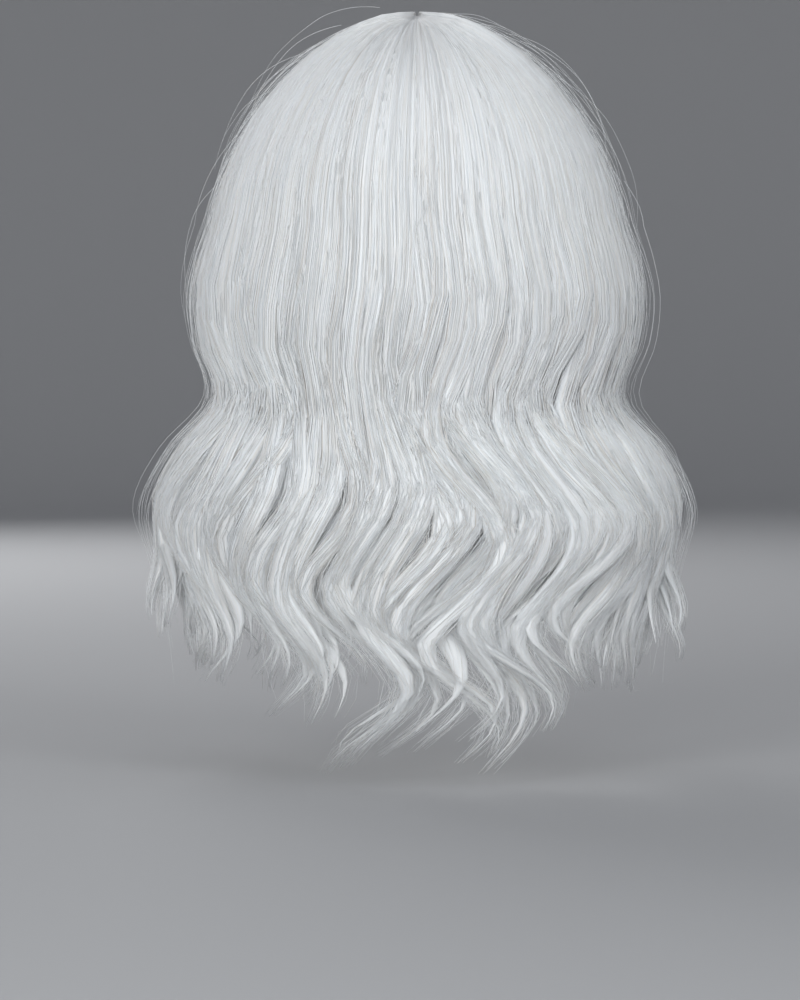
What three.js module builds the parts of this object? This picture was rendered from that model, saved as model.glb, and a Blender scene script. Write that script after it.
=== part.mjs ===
import * as THREE from "three";

// Short wavy wig with a centre parting, in millimetres.
// +Z is up, the face side is -Y and the nape side is +Y. The origin is the inside top of the cap.
// Azimuth is measured from the nape side, positive towards +X.

// Head hollow and cap
const HEAD_WIDTH = 155;
const HEAD_LENGTH = 196;
const HEAD_DROP = 105; // from the inside top down to the widest level of the head
const CAP_WALL = 2;
const EDGE_DROP = 165; // from the inside top down to the nape edge

// Parting strip, which lies on the cap
const STRIP_WIDTH = 14;
const STRIP_THICKNESS = 1;
const STRIP_GAP = 0.3;
const CROWN_ANGLE = 14; // how far behind the top the parting ends, in degrees
const FRONT_ANGLE = 52; // how far in front of the top the parting starts, in degrees
const STRIP_PAST = 2; // how far the strip runs past the crown point, in degrees

// Outer hair
const HAIR_TOP = 6.5; // thickness over the top of the cap
const ROOT_RISE = 2.4; // thickness at the roots, above the strip
const ROOT_SPREAD = 1.6; // from the middle of the parting to the first roots
const CROWN_RING = 6; // from the crown point to the first roots round it
const SEAT_GAP = 0.9; // between the cap and the hair that lies on it
const LOCK_GAP = 0.4; // between two locks side by side
const LOCK_DEPTH = 20; // thickness of the hanging hair
const LOCK_TIP = 1.6; // width and thickness of a lock's tip
const FALL = 282; // from the widest level of the cap down to the longest tip
const HALF_WIDTH = 143; // at the lower wave, from the middle to one side
const BACK_DEPTH = 140; // at the lower wave, from the middle of the head to the back
const FACE_DEPTH = 118; // at the lower wave, the same towards the face
const FACE_AZIMUTH = 128; // where the hair ends beside the face, in degrees
const WAVE_LENGTH = 122; // from one bend of a lock to the next alike
const WAVE_SWAY = 9; // how far a lock swings to each side at the bottom
const FLICK = 26; // how far the strongest outward tip turns out

// Under hair, rooted near the nape edge of the cap
const UNDER_DEPTH = 11;
const UNDER_GAP = 1.2; // between the under hair and the locks over it
const UNDER_AZIMUTH = 98; // where it ends on each side, in degrees
const UNDER_COUNT = 8;

// Cap edge: azimuth in degrees, its drop as a share of EDGE_DROP
const CAP_EDGE = [
  { azimuth: 0, drop: 1.0 },
  { azimuth: 40, drop: 0.94 },
  { azimuth: 72, drop: 0.72 },
  { azimuth: 90, drop: 0.69 },
  { azimuth: 106, drop: 0.75 },
  { azimuth: 126, drop: 0.52 },
  { azimuth: 150, drop: 0.32 },
  { azimuth: 180, drop: 0.26 },
];

// Hanging outline: fall is a share of FALL, the others are shares of HALF_WIDTH, BACK_DEPTH and FACE_DEPTH
const OUTLINE = [
  { fall: 0.0, side: 0.762, back: 0.879, face: 0.94 },
  { fall: 0.065, side: 0.805, back: 0.9, face: 0.96 },
  { fall: 0.135, side: 0.828, back: 0.916, face: 0.975 },
  { fall: 0.22, side: 0.808, back: 0.923, face: 0.972 },
  { fall: 0.325, side: 0.75, back: 0.927, face: 0.968 },
  { fall: 0.42, side: 0.9, back: 0.955, face: 0.98 },
  { fall: 0.53, side: 1.0, back: 0.985, face: 1.0 },
  { fall: 0.64, side: 0.955, back: 0.97, face: 0.98 },
  { fall: 0.78, side: 0.9, back: 0.94, face: 0.95 },
  { fall: 1.0, side: 0.87, back: 0.91, face: 0.93 },
];

// Outer locks from beside the face on +X, round the back, to beside the face on -X.
// width is relative to the others, length a share of FALL, phase in turns, sway a share of WAVE_SWAY,
// hook the tip's turn towards +X in lock widths, flick a share of FLICK,
// lift from -1 to 1 where the narrowed end lies in the hair's thickness, inside or outside.
const LOCKS = [
  { name: "lock_left_1", width: 1.0, length: 0.8, phase: 0.1, sway: 0.7, hook: -0.3, flick: -0.2, lift: -0.9 },
  { name: "lock_left_2", width: 1.0, length: 0.84, phase: 0.05, sway: 0.7, hook: 0.2, flick: 0.1, lift: 0.9 },
  { name: "lock_left_3", width: 1.0, length: 0.81, phase: 0.0, sway: 0.8, hook: 0.3, flick: 0.4, lift: -0.9 },
  { name: "lock_left_4", width: 1.0, length: 0.79, phase: -0.05, sway: 0.8, hook: 0.1, flick: 1.0, lift: 0.9 },
  { name: "lock_left_5", width: 1.05, length: 0.83, phase: -0.08, sway: 0.9, hook: 0.4, flick: 0.4, lift: -0.9 },
  { name: "lock_back_1", width: 1.1, length: 0.86, phase: -0.12, sway: 1.0, hook: 0.45, flick: 0.3, lift: 0.9 },
  { name: "lock_back_2", width: 1.1, length: 0.88, phase: -0.18, sway: 1.0, hook: -0.3, flick: 0.1, lift: -0.9 },
  { name: "lock_back_3", width: 1.0, length: 0.925, phase: -0.24, sway: 1.0, hook: -0.1, flick: 0.1, lift: 0.9 },
  { name: "lock_back_4", width: 0.95, length: 0.87, phase: -0.3, sway: 1.1, hook: 0.2, flick: 0.2, lift: -0.9 },
  { name: "lock_back_5", width: 0.95, length: 1.0, phase: -0.38, sway: 1.2, hook: 0.35, flick: 0.1, lift: 0.9 },
  { name: "lock_back_6", width: 0.95, length: 0.96, phase: -0.45, sway: 1.2, hook: 0.55, flick: 0.1, lift: -0.9 },
  { name: "lock_back_7", width: 0.95, length: 0.985, phase: -0.5, sway: 1.1, hook: 0.5, flick: 0.15, lift: 0.9 },
  { name: "lock_back_8", width: 1.0, length: 0.96, phase: -0.55, sway: 1.0, hook: 0.6, flick: 0.1, lift: -0.9 },
  { name: "lock_back_9", width: 1.1, length: 0.87, phase: -0.6, sway: 1.0, hook: 0.42, flick: 0.1, lift: 0.9 },
  { name: "lock_back_10", width: 1.1, length: 0.91, phase: -0.65, sway: 0.9, hook: -0.2, flick: 0.2, lift: -0.9 },
  { name: "lock_right_5", width: 1.05, length: 0.89, phase: -0.7, sway: 0.9, hook: -0.2, flick: 0.3, lift: -0.9 },
  { name: "lock_right_4", width: 1.0, length: 0.82, phase: -0.75, sway: 0.8, hook: -0.2, flick: 1.1, lift: 0.9 },
  { name: "lock_right_3", width: 1.0, length: 0.84, phase: -0.8, sway: 0.8, hook: -0.3, flick: 0.4, lift: -0.9 },
  { name: "lock_right_2", width: 1.0, length: 0.82, phase: -0.85, sway: 0.7, hook: -0.2, flick: 0.1, lift: 0.9 },
  { name: "lock_right_1", width: 1.0, length: 0.8, phase: -0.9, sway: 0.7, hook: 0.3, flick: -0.2, lift: -0.9 },
];

// A lock's cross-section: across from -1 to 1, depth from 0 on the inside to 1 on the outside
const LOCK_SECTION = [
  { across: -0.62, depth: 0.0 },
  { across: 0.62, depth: 0.0 },
  { across: 1.0, depth: 0.3 },
  { across: 0.86, depth: 0.82 },
  { across: 0.36, depth: 1.0 },
  { across: -0.36, depth: 1.0 },
  { across: -0.86, depth: 0.82 },
  { across: -1.0, depth: 0.3 },
];

// The same for an under lock, which is wide and flat
const UNDER_SECTION = [
  { across: -0.7, depth: 0.0 },
  { across: 0.0, depth: 0.0 },
  { across: 0.7, depth: 0.0 },
  { across: 1.0, depth: 0.5 },
  { across: 0.7, depth: 1.0 },
  { across: 0.0, depth: 1.0 },
  { across: -0.7, depth: 1.0 },
  { across: -1.0, depth: 0.5 },
];

// How a lock narrows: drop is a share of its own hanging length, width and depth shares of its full ones
const TAPER = [
  { drop: 0.0, width: 1.0, depth: 1.0 },
  { drop: 0.45, width: 1.0, depth: 1.0 },
  { drop: 0.62, width: 1.0, depth: 0.9 },
  { drop: 0.75, width: 0.98, depth: 0.7 },
  { drop: 0.86, width: 0.86, depth: 0.5 },
  { drop: 0.95, width: 0.54, depth: 0.3 },
  { drop: 1.0, width: 0.0, depth: 0.0 },
];

// Levels shared by all locks: shares of the way over the head, then shares of FALL
const LEVELS_OVER = [0, 0.05, 0.13, 0.23, 0.34, 0.46, 0.58, 0.7, 0.81, 0.91];
const LEVELS_FALL = [0, 0.06, 0.12, 0.19, 0.26, 0.325, 0.39, 0.45, 0.52, 0.59, 0.66, 0.73, 0.79, 0.85, 0.91, 0.96];
const UNDER_FALLS = [0.06, 0.12, 0.19, 0.26, 0.325, 0.39, 0.45, 0.52, 0.59, 0.66, 0.73];
const LEAST_STEP = 0.02; // of FALL, from the last shared level to a tip

const CAP_COLUMNS = 44;
const CAP_ROWS = 9;
const STRIP_ROWS = 14;
const CROWN_SHARE = 0.46; // of the hair on each side, that grows from the crown and not from the parting
const RING_EASE = 0.2; // of the hair on a side, over which the crown ring narrows to the parting
const STRIP_COVER = 0.06; // share of the way over the head where the hair still lies on the strip
const ROOT_EASE = 0.12; // share of the way over which the hair comes down to the cap and reaches its thickness
const THICKENING = 1.1; // how the hair's thickness grows from the top down
const SEAT_EASE = 0.1; // of FALL, over which the inner side of the locks leaves the cap's line
const SWAY_EASE = 0.5; // of FALL, over which the side waves grow to their full sway
const HOOK_START = 0.64; // share of a lock's length where its tip starts to turn

const RADIANS = Math.PI / 180;
const DOWN = new THREE.Vector3(0, 0, -1);

const hair = (name) => new THREE.MeshStandardMaterial({ name, color: 0xe9ebea, roughness: 0.45, metalness: 0 });
const netting = new THREE.MeshStandardMaterial({ name: "netting", color: 0xd9d2c4, roughness: 0.85, metalness: 0 });
const skin = new THREE.MeshStandardMaterial({ name: "strip", color: 0xb9a183, roughness: 0.7, metalness: 0 });

const mix = (a, b, share) => a + (b - a) * share;
const ease = (x) => {
  const t = Math.min(1, Math.max(0, x));
  return t * t * (3 - 2 * t);
};

// Value of a table's column at a key, on a smooth curve through its rows.
function look(table, key, column, at) {
  const last = table.length - 1;
  if (at <= table[0][key]) return table[0][column];
  if (at >= table[last][key]) return table[last][column];
  const i = table.findIndex((row, n) => at < table[n + 1][key]);
  const slope = (n) => {
    const before = table[Math.max(0, n - 1)];
    const after = table[Math.min(last, n + 1)];
    return (after[column] - before[column]) / (after[key] - before[key]);
  };
  const span = table[i + 1][key] - table[i][key];
  const t = (at - table[i][key]) / span;
  const [t2, t3] = [t * t, t * t * t];
  return (
    (2 * t3 - 3 * t2 + 1) * table[i][column] +
    (t3 - 2 * t2 + t) * span * slope(i) +
    (3 * t2 - 2 * t3) * table[i + 1][column] +
    (t3 - t2) * span * slope(i + 1)
  );
}

// Mesh from a list of points and their triangles.
function meshOf(name, material, points, index) {
  const geometry = new THREE.BufferGeometry().setFromPoints(points);
  geometry.setIndex(index);
  geometry.computeVertexNormals();
  const mesh = new THREE.Mesh(geometry, material);
  mesh.name = name;
  return mesh;
}

// Closed body through rings of points, with a fan over the first and the last.
function bodyOf(name, material, rings) {
  const count = rings[0].length;
  const lastRow = (rings.length - 1) * count;
  const middle = (ring) => ring.reduce((sum, p) => sum.add(p), new THREE.Vector3()).divideScalar(count);
  const points = [...rings.flat(), middle(rings[0]), middle(rings[rings.length - 1])];
  const [first, last] = [points.length - 2, points.length - 1];
  const index = [];
  for (let k = 0; k < count; k += 1) {
    const next = (k + 1) % count;
    for (let row = 0; row < lastRow; row += count) {
      index.push(row + k, row + count + k, row + next);
      index.push(row + next, row + count + k, row + count + next);
    }
    index.push(first, k, next);
    index.push(last, lastRow + next, lastRow + k);
  }
  return meshOf(name, material, points, index);
}

// Point over the head. direction is a unit vector of the head's own ellipsoid, out the distances off it.
const overHead = (direction, out) =>
  new THREE.Vector3(
    direction.x * (HEAD_WIDTH / 2 + out.x),
    direction.y * (HEAD_LENGTH / 2 + out.y),
    direction.z * (HEAD_DROP + out.z) - HEAD_DROP,
  );
const evenly = (out) => new THREE.Vector3(out, out, out);

// Direction on the head's middle line, at an angle in degrees behind the top.
const onMiddle = (angle) => new THREE.Vector3(0, Math.sin(angle * RADIANS), Math.cos(angle * RADIANS));

// Where the hair at side leaves the parting or the crown. side is 0 at the nape and 1 or -1 beside the face.
function rootOf(side) {
  const reach = Math.abs(side);
  const turn = (Math.min(1, reach / CROWN_SHARE) * Math.PI) / 2;
  const angle = mix(CROWN_ANGLE, -FRONT_ANGLE, Math.max(0, (reach - CROWN_SHARE) / (1 - CROWN_SHARE)));
  const leaving = onMiddle(angle + 90).multiplyScalar(Math.cos(turn));
  leaving.x = Math.sign(side) * Math.sin(turn);
  const off = mix(CROWN_RING, ROOT_SPREAD, ease((reach - CROWN_SHARE) / RING_EASE));
  const start = onMiddle(angle).addScaledVector(leaving, off / HEAD_DROP).normalize();
  return { start, leaving };
}

// Direction of the hair at side, from the roots at over 0 to the head's widest level at over 1.
function pathOver(side, over) {
  const { start, leaving } = rootOf(side);
  const azimuth = side * FACE_AZIMUTH * RADIANS;
  const end = new THREE.Vector3(Math.sin(azimuth), Math.cos(azimuth), 0);
  const pull = start.angleTo(end);
  const [t, t2, t3] = [over, over * over, over * over * over];
  return new THREE.Vector3()
    .addScaledVector(start, 2 * t3 - 3 * t2 + 1)
    .addScaledVector(leaving, (t3 - 2 * t2 + t) * pull)
    .addScaledVector(end, 3 * t2 - 2 * t3)
    .addScaledVector(DOWN, (t3 - t2) * pull)
    .normalize();
}

// Half-axes of the hair's outer side at a share of the fall.
const outerAt = (fall) => ({
  side: HALF_WIDTH * look(OUTLINE, "fall", "side", fall),
  back: BACK_DEPTH * look(OUTLINE, "fall", "back", fall),
  face: FACE_DEPTH * look(OUTLINE, "fall", "face", fall),
});
const WIDEST = outerAt(0);
const SEAT = {
  side: HEAD_WIDTH / 2 + CAP_WALL + SEAT_GAP,
  back: HEAD_LENGTH / 2 + CAP_WALL + SEAT_GAP,
  face: HEAD_LENGTH / 2 + CAP_WALL + SEAT_GAP,
};

// Half-axes of the locks' inner side: on the cap at its widest level, LOCK_DEPTH in from the outline lower down.
function innerAt(fall) {
  const outer = outerAt(fall);
  const leave = ease(fall / SEAT_EASE);
  const inner = (axis) => outer[axis] - mix(WIDEST[axis] - SEAT[axis], LOCK_DEPTH, leave);
  return { side: inner("side"), back: inner("back"), face: inner("face") };
}

// Point of the hanging hair, at an azimuth in radians, between or beyond two sets of half-axes.
function hanging(azimuth, fall, inner, outer, depth) {
  const lengthways = Math.cos(azimuth) > 0 ? "back" : "face";
  return new THREE.Vector3(
    Math.sin(azimuth) * mix(inner.side, outer.side, depth),
    Math.cos(azimuth) * mix(inner[lengthways], outer[lengthways], depth),
    -HEAD_DROP - fall * FALL,
  );
}

// Point of the hair that lies over the head, depth 0 on the cap and 1 outside.
function lying(side, over, depth) {
  const direction = pathOver(side, over);
  const down = (2 / Math.PI) * Math.acos(Math.min(1, Math.max(-1, direction.z)));
  const lengthways = direction.y > 0 ? "back" : "face";
  const grown = down ** THICKENING;
  const thickness = new THREE.Vector3(
    mix(HAIR_TOP, WIDEST.side - HEAD_WIDTH / 2 - CAP_WALL, grown),
    mix(HAIR_TOP, WIDEST[lengthways] - HEAD_LENGTH / 2 - CAP_WALL, grown),
    HAIR_TOP,
  );
  const onStrip = 1 - ease((over - STRIP_COVER) / ROOT_EASE);
  const strip = STRIP_GAP + STRIP_THICKNESS;
  const inner = evenly(CAP_WALL + SEAT_GAP + strip * onStrip);
  const outer = thickness.lerp(evenly(strip + ROOT_RISE), 1 - ease(over / ROOT_EASE)).addScalar(CAP_WALL);
  return overHead(direction, inner.lerp(outer, depth));
}

// Edges between the locks: place round the head, phase and sway, each shared by the two locks beside it
const totalWidth = LOCKS.reduce((sum, lock) => sum + lock.width, 0);
const EDGES = [...LOCKS, LOCKS[LOCKS.length - 1]].map((lock, i) => {
  const before = LOCKS[Math.max(0, i - 1)];
  const passed = LOCKS.slice(0, i).reduce((sum, other) => sum + other.width, 0);
  return {
    side: 1 - (2 * passed) / totalWidth,
    phase: (before.phase + lock.phase) / 2,
    sway: (before.sway + lock.sway) / 2,
  };
});

// Azimuth in radians of an edge at a share of the fall, with its wave.
function azimuthOf(edge, fall) {
  const swing = (WAVE_SWAY * edge.sway * ease(fall / SWAY_EASE)) / HALF_WIDTH;
  const turns = (fall * FALL) / WAVE_LENGTH + edge.phase;
  return edge.side * FACE_AZIMUTH * RADIANS + swing * Math.sin(2 * Math.PI * turns);
}

// Ring of a lock over the head, between its edges less the gap.
function ringOver(left, right, over) {
  const width = lying(left.side, over, 1).distanceTo(lying(right.side, over, 1));
  const kept = (1 - LOCK_GAP / width) / 2;
  return LOCK_SECTION.map(({ across, depth }) =>
    lying(mix(right.side, left.side, 0.5 + across * kept), over, depth),
  );
}

// Ring of a hanging lock, narrowed and turned as its own length says.
function ringHanging(lock, left, right, fall) {
  const [inner, outer] = [innerAt(fall), outerAt(fall)];
  const [from, to] = [azimuthOf(right, fall), azimuthOf(left, fall)];
  const width = hanging(from, fall, inner, outer, 1).distanceTo(hanging(to, fall, inner, outer, 1));
  const drop = fall / lock.length;
  const tip = LOCK_TIP / LOCK_DEPTH;
  const wide = Math.max(LOCK_TIP / width, look(TAPER, "drop", "width", drop) - LOCK_GAP / width);
  const deep = Math.max(tip, look(TAPER, "drop", "depth", drop));
  const turned = ease((drop - HOOK_START) / (1 - HOOK_START)) ** 1.5;
  const middle = 0.5 + (lock.lift * (1 - deep)) / 2 + (lock.flick * FLICK * turned) / LOCK_DEPTH;
  const centre = (from + to) / 2 + lock.hook * turned * (to - from);
  return LOCK_SECTION.map(({ across, depth }) =>
    hanging(centre + (across * wide * (to - from)) / 2, fall, inner, outer, middle + (depth - 0.5) * deep),
  );
}

function outerLock(lock, i) {
  const [left, right] = [EDGES[i], EDGES[i + 1]];
  const falls = [...LEVELS_FALL.filter((fall) => fall < lock.length - LEAST_STEP), lock.length];
  const rings = [
    ...LEVELS_OVER.map((over) => ringOver(left, right, over)),
    ...falls.map((fall) => ringHanging(lock, left, right, fall)),
  ];
  return bodyOf(lock.name, hair(lock.name), rings);
}

// Half-axes of the cap's outer side below its widest level, with the gap that hair keeps to it.
function capAt(fall) {
  const drop = Math.min(1, (fall * FALL) / (HEAD_DROP + CAP_WALL));
  const share = Math.sqrt(1 - drop * drop);
  const across = (HEAD_WIDTH / 2 + CAP_WALL) * share + SEAT_GAP;
  const along = (HEAD_LENGTH / 2 + CAP_WALL) * share + SEAT_GAP;
  return { side: across, back: along, face: along };
}

function underLock(n) {
  const step = (2 * UNDER_AZIMUTH * RADIANS) / UNDER_COUNT;
  const middle = UNDER_AZIMUTH * RADIANS - step * (n + 0.5);
  const last = UNDER_FALLS.length - 1;
  const rings = UNDER_FALLS.map((fall, row) => {
    const over = innerAt(fall);
    const cap = capAt(fall);
    const outer = {};
    const inner = {};
    for (const axis of ["side", "back", "face"]) {
      outer[axis] = over[axis] - UNDER_GAP;
      inner[axis] = Math.max(cap[axis], outer[axis] - UNDER_DEPTH);
    }
    const sway = (azimuth) =>
      azimuthOf({ side: azimuth / (FACE_AZIMUTH * RADIANS), phase: 0, sway: 0.8 }, fall);
    const width = step * outer.side;
    const wide = (1 - LOCK_GAP / width) * mix(1, LOCK_TIP / width, ease((row / last - 0.5) / 0.5));
    const deep = mix(1, LOCK_TIP / UNDER_DEPTH, ease((row / last - 0.5) / 0.5));
    return UNDER_SECTION.map(({ across, depth }) =>
      hanging(sway(middle) + (across * wide * step) / 2, fall, inner, outer, 0.5 + (depth - 0.5) * deep),
    );
  });
  return bodyOf(`under_${n + 1}`, hair(`under_${n + 1}`), rings);
}

// Cap: an outer and an inner dome that meet at the edge
function cap() {
  const points = [];
  const index = [];
  const grid = (wall) => {
    const start = points.length;
    points.push(overHead(onMiddle(0), evenly(wall)));
    for (let row = 1; row <= CAP_ROWS; row += 1) {
      for (let column = 0; column < CAP_COLUMNS; column += 1) {
        const azimuth = (360 * column) / CAP_COLUMNS;
        const drop = EDGE_DROP * look(CAP_EDGE, "azimuth", "drop", Math.min(azimuth, 360 - azimuth));
        const polar = (Math.acos((HEAD_DROP - drop) / HEAD_DROP) * row) / CAP_ROWS;
        const flat = Math.sin(polar);
        const direction = new THREE.Vector3(
          Math.sin(azimuth * RADIANS) * flat,
          Math.cos(azimuth * RADIANS) * flat,
          Math.cos(polar),
        );
        points.push(overHead(direction, evenly(wall)));
      }
    }
    return start;
  };
  const [outside, inside] = [grid(CAP_WALL), grid(0)];
  const at = (start, row, column) => start + 1 + (row - 1) * CAP_COLUMNS + (column % CAP_COLUMNS);
  for (let column = 0; column < CAP_COLUMNS; column += 1) {
    const next = column + 1;
    index.push(outside, at(outside, 1, next), at(outside, 1, column));
    index.push(inside, at(inside, 1, column), at(inside, 1, next));
    for (let row = 1; row < CAP_ROWS; row += 1) {
      const [a, b] = [at(outside, row, column), at(outside, row, next)];
      const [c, d] = [at(outside, row + 1, column), at(outside, row + 1, next)];
      index.push(a, b, c, b, d, c);
      const [e, f] = [at(inside, row, column), at(inside, row, next)];
      const [g, h] = [at(inside, row + 1, column), at(inside, row + 1, next)];
      index.push(e, g, f, f, g, h);
    }
    const [p, q] = [at(outside, CAP_ROWS, column), at(outside, CAP_ROWS, next)];
    const [r, s] = [at(inside, CAP_ROWS, column), at(inside, CAP_ROWS, next)];
    index.push(p, q, r, q, s, r);
  }
  return meshOf("cap", netting, points, index);
}

function partingStrip() {
  const halfWidth = STRIP_WIDTH / HEAD_WIDTH;
  const [low, high] = [CAP_WALL + STRIP_GAP, CAP_WALL + STRIP_GAP + STRIP_THICKNESS];
  const corners = [
    { across: -1, out: low },
    { across: 0, out: low },
    { across: 1, out: low },
    { across: 1, out: high },
    { across: 0, out: high },
    { across: -1, out: high },
  ];
  const rings = [];
  for (let row = 0; row <= STRIP_ROWS; row += 1) {
    const angle = mix(-FRONT_ANGLE, CROWN_ANGLE + STRIP_PAST, row / STRIP_ROWS);
    rings.push(
      corners.map(({ across, out }) => {
        const direction = onMiddle(angle);
        direction.x = across * halfWidth;
        return overHead(direction.normalize(), evenly(out));
      }),
    );
  }
  return bodyOf("parting_strip", skin, rings);
}

const wig = new THREE.Group();
wig.name = "wavy_wig";
wig.add(cap(), partingStrip(), ...LOCKS.map(outerLock));
for (let n = 0; n < UNDER_COUNT; n += 1) wig.add(underLock(n));

export default wig;
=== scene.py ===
import math

import bmesh
import bpy
import numpy as np
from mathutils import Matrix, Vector


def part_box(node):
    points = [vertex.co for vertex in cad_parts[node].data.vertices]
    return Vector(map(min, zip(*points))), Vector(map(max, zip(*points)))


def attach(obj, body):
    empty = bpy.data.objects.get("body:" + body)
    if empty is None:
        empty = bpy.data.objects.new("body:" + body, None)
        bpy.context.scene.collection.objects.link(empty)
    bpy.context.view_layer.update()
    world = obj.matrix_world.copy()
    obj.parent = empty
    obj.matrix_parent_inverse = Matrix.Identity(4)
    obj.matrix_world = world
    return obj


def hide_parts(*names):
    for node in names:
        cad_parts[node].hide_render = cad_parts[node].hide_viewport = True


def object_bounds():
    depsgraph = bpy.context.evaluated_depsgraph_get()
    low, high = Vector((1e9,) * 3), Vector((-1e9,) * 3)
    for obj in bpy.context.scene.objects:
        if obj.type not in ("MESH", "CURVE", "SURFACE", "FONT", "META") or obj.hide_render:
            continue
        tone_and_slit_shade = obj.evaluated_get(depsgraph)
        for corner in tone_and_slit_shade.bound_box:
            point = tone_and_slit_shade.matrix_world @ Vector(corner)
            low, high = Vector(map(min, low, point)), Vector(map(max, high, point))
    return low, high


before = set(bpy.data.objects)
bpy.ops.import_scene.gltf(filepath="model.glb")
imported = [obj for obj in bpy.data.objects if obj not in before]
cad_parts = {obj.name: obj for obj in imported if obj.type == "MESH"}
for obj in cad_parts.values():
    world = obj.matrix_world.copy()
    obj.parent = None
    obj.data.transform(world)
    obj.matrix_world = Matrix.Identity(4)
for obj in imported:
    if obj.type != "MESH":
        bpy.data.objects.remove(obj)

# Short wavy wig with a centre parting: the looks of each piece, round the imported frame.
# Lengths are in millimetres up to the point where a mesh is made, which is in metres.
# +Z is up, the face side is -Y and the nape side is +Y. The origin is the inside top of the cap.

MM = 0.001
CAD_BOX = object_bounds()
SEED = 11
rng = np.random.default_rng(SEED)

# Sizes of the head, the cap and the parting strip, as in the solids
CAP_LOW, CAP_HIGH = (np.array(corner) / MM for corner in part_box("cap"))
CAP_WALL = 2.0
HEAD_WIDTH = CAP_HIGH[0] - CAP_LOW[0] - 2 * CAP_WALL
HEAD_LENGTH = 196.0
HEAD_DROP = 105.0
EDGE_DROP = 165.0
STRIP_WIDTH = 14.0
STRIP_THICKNESS = 1.0
STRIP_GAP = 0.3
CROWN_ANGLE = 14.0
FRONT_ANGLE = 52.0

# Sizes of the hair, as in the solids. Side runs from 1 at the wearer's left face edge to -1 at the right one.
HAIR_TOP = 6.5
ROOT_SPREAD = 1.6
CROWN_RING = 6.0
LOCK_DEPTH = 20.0
FALL = 282.0
HALF_WIDTH = 143.0
BACK_DEPTH = 140.0
FACE_DEPTH = 118.0
FACE_AZIMUTH = math.radians(128)
SIDE_MM = HALF_WIDTH * FACE_AZIMUTH  # one unit of side, measured along the lower wave
WAVE_LENGTH = 122.0
WAVE_SWAY = 9.0
SWAY_EASE = 0.5
FLICK = 26.0
HOOK_START = 0.64
UNDER_AZIMUTH = math.radians(98)
UNDER_COUNT = 8
UNDER_FALL = 0.73
UNDER_START = 0.07  # of the fall
UNDER_DEPTHS = (24.0, 27.0)  # at its roots and where it hangs
UNDER_THICK = 9.0
CROWN_SHARE = 0.46
RING_EASE = 0.2
ROOT_EASE = 0.12
THICKENING = 1.1

# Sizes that only the tresses have
ROOT_RISE = 4.2  # more than the solids', so that the crown is round
OVER_LENGTH = 160.0  # of the hair from its roots to the head's widest level
SWAY_LEAD = 44.0  # how far above the head's widest level the waves begin
SWAY_RUN = 190.0  # the length in which they grow to their full sway
SWAY_AT_TIP = 1.75
WAVE_ANCHOR = 110.0  # fall in millimetres where neighbouring tresses keep their waves in step
TIP_START, TIP_TURN = 0.66, 0.3  # where the waves begin to shorten, and by what part of a wave
CURL = 21.0
CURL_START = 0.78


def table(columns, rows):
    """Named columns of a short table, as arrays."""
    return dict(zip(columns.split(), np.array(rows, dtype=float).T))


CAP_EDGE = table("azimuth drop", [
    (0, 1.0), (40, 0.94), (72, 0.72), (90, 0.69), (106, 0.75), (126, 0.52), (150, 0.32), (180, 0.26),
])
OUTLINE = table("fall side back face", [
    (0.0, 0.762, 0.879, 0.94),
    (0.065, 0.805, 0.9, 0.96),
    (0.135, 0.828, 0.916, 0.975),
    (0.22, 0.808, 0.923, 0.972),
    (0.325, 0.75, 0.927, 0.968),
    (0.42, 0.9, 0.955, 0.98),
    (0.53, 1.0, 0.985, 1.0),
    (0.64, 0.955, 0.97, 0.98),
    (0.78, 0.9, 0.94, 0.95),
    (1.0, 0.87, 0.91, 0.93),
])
LOCK_NAMES = [f"lock_left_{n}" for n in range(1, 6)]
LOCK_NAMES += [f"lock_back_{n}" for n in range(1, 11)]
LOCK_NAMES += [f"lock_right_{n}" for n in range(5, 0, -1)]
LOCKS = table("width length phase sway hook flick lift", [
    (1.0, 0.8, 0.1, 0.7, -0.3, -0.2, -0.9),
    (1.0, 0.84, 0.05, 0.7, 0.2, 0.1, 0.9),
    (1.0, 0.81, 0.0, 0.8, 0.3, 0.4, -0.9),
    (1.0, 0.79, -0.05, 0.8, 0.1, 1.0, 0.9),
    (1.05, 0.83, -0.08, 0.9, 0.4, 0.4, -0.9),
    (1.1, 0.86, -0.12, 1.0, 0.45, 0.3, 0.9),
    (1.1, 0.88, -0.18, 1.0, -0.3, 0.1, -0.9),
    (1.0, 0.925, -0.24, 1.0, -0.1, 0.1, 0.9),
    (0.95, 0.87, -0.3, 1.1, 0.2, 0.2, -0.9),
    (0.95, 1.0, -0.38, 1.2, 0.35, 0.1, 0.9),
    (0.95, 0.96, -0.45, 1.2, 0.55, 0.1, -0.9),
    (0.95, 0.985, -0.5, 1.1, 0.5, 0.15, 0.9),
    (1.0, 0.96, -0.55, 1.0, 0.6, 0.1, -0.9),
    (1.1, 0.87, -0.6, 1.0, 0.42, 0.1, 0.9),
    (1.1, 0.91, -0.65, 0.9, -0.2, 0.2, -0.9),
    (1.05, 0.89, -0.7, 0.9, -0.2, 0.3, -0.9),
    (1.0, 0.82, -0.75, 0.8, -0.2, 1.1, 0.9),
    (1.0, 0.84, -0.8, 0.8, -0.3, 0.4, -0.9),
    (1.0, 0.82, -0.85, 0.7, -0.2, 0.1, 0.9),
    (1.0, 0.8, -0.9, 0.7, 0.3, -0.2, -0.9),
])
TAPER = table("drop width depth", [
    (0.0, 1.0, 1.0), (0.45, 1.0, 1.0), (0.62, 1.0, 0.9), (0.75, 0.98, 0.7),
    (0.86, 0.86, 0.5), (0.95, 0.54, 0.3), (1.0, 0.0, 0.0),
])

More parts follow.
